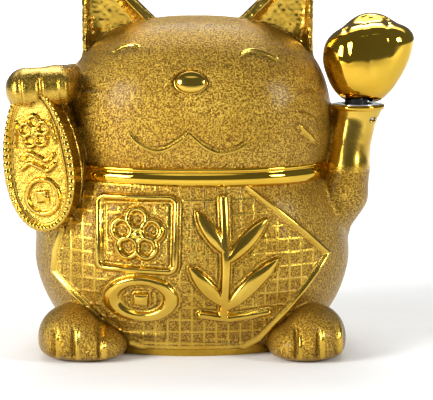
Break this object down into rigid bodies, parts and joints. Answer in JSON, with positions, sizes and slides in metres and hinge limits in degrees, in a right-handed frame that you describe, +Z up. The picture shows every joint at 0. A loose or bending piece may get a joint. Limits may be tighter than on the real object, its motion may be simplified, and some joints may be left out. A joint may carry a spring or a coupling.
{
  "type": "beckoning cat figurine",
  "caption": "Seated gold beckoning cat figurine with a coin tablet and a battery-driven paw that rocks on a hidden pendulum.",
  "frame": {"origin": "on the resting plane, below the middle of the body, on the face of the base plate", "axes": "+Z up, -Y is the way the cat faces, +X is the side of the waving paw"},
  "size_m": [0.1303, 0.0845, 0.126],
  "materials": {
    "gold_shell": "vacuum-metallised gold over a finely frosted moulding",
    "gold_polished": "vacuum-metallised gold, mirror polished",
    "gold_base": "satin gold plastic",
    "silver_ring": "bright plated",
    "steel": "zinc plated",
    "cell_case": "plain wrapped sleeve",
    "contact_metal": "nickel plated",
    "board_green": "solder mask",
    "component_black": "moulded epoxy",
    "black_plastic": "moulded nylon",
    "white_plastic": "natural nylon",
    "copper_wire": "enamelled copper",
    "red_insulation": "smooth",
    "black_insulation": "smooth",
    "magnet_grey": "nickel plated"
  },
  "bodies": {
    "housing": {"front_shell": "gold_shell", "rear_shell": "gold_shell", "coin_tablet": "gold_polished", "base_plate": "gold_base", "base_screws": "steel", "battery_cell": "cell_case", "positive_contact": "contact_metal", "negative_spring": "contact_metal", "circuit_board": "board_green", "board_components": "component_black", "coil_bobbin": "white_plastic", "drive_coil": "copper_wire", "bobbin_screw": "steel", "positive_lead": "red_insulation", "negative_lead": "black_insulation", "coil_leads": "copper_wire", "pivot_ring": "silver_ring", "pivot_pin": "steel"},
    "paw": {"paw_shell": "gold_polished", "paw_insert": "black_plastic", "pendulum_rod": "steel", "magnet_holder": "black_plastic", "pendulum_magnet": "magnet_grey"},
    "door": {"battery_door": "gold_base"}
  },
  "joints": [
    {"name": "paw_rock", "type": "hinge", "parent": "housing", "child": "paw", "pos_m": [0.0531, -0.006, 0.075], "axis": [1, 0, 0], "range_deg": [-13, 13]},
    {"name": "battery_door_hinge", "type": "hinge", "parent": "housing", "child": "door", "pos_m": [0.0247, 0.0087, 0.00085], "axis": [0, -1, 0], "range_deg": [0, 80]}
  ]
}
